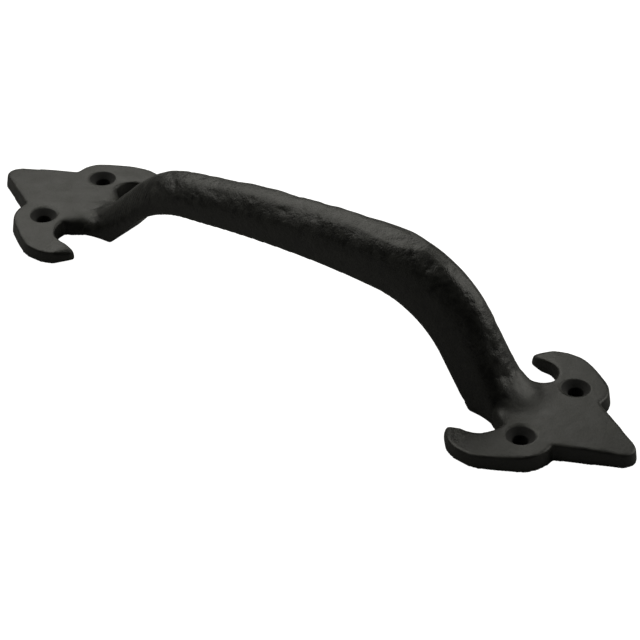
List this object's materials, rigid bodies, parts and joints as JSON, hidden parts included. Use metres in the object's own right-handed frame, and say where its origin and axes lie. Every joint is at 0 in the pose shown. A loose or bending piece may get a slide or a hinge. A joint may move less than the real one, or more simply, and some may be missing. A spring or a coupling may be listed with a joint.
{
  "type": "bow pull handle",
  "caption": "Black iron bow pull handle: uneven hammered grip on two smooth fleur-de-lis end plates with countersunk screw holes, for a door, gate or shutter.",
  "frame": {"origin": "middle of the mounting face, between the two end plates", "axes": "+X along the handle, +Y across it, +Z out of the door towards the hand"},
  "size_m": [0.228, 0.0546, 0.0413],
  "materials": {
    "hammered_iron": "satin black paint over a hammered surface",
    "plate_iron": "satin black paint over a smooth cast surface"
  },
  "bodies": {
    "root": {"grip_bar": "hammered_iron", "right_end_plate": "plate_iron", "left_end_plate": "plate_iron"}
  },
  "joints": []
}
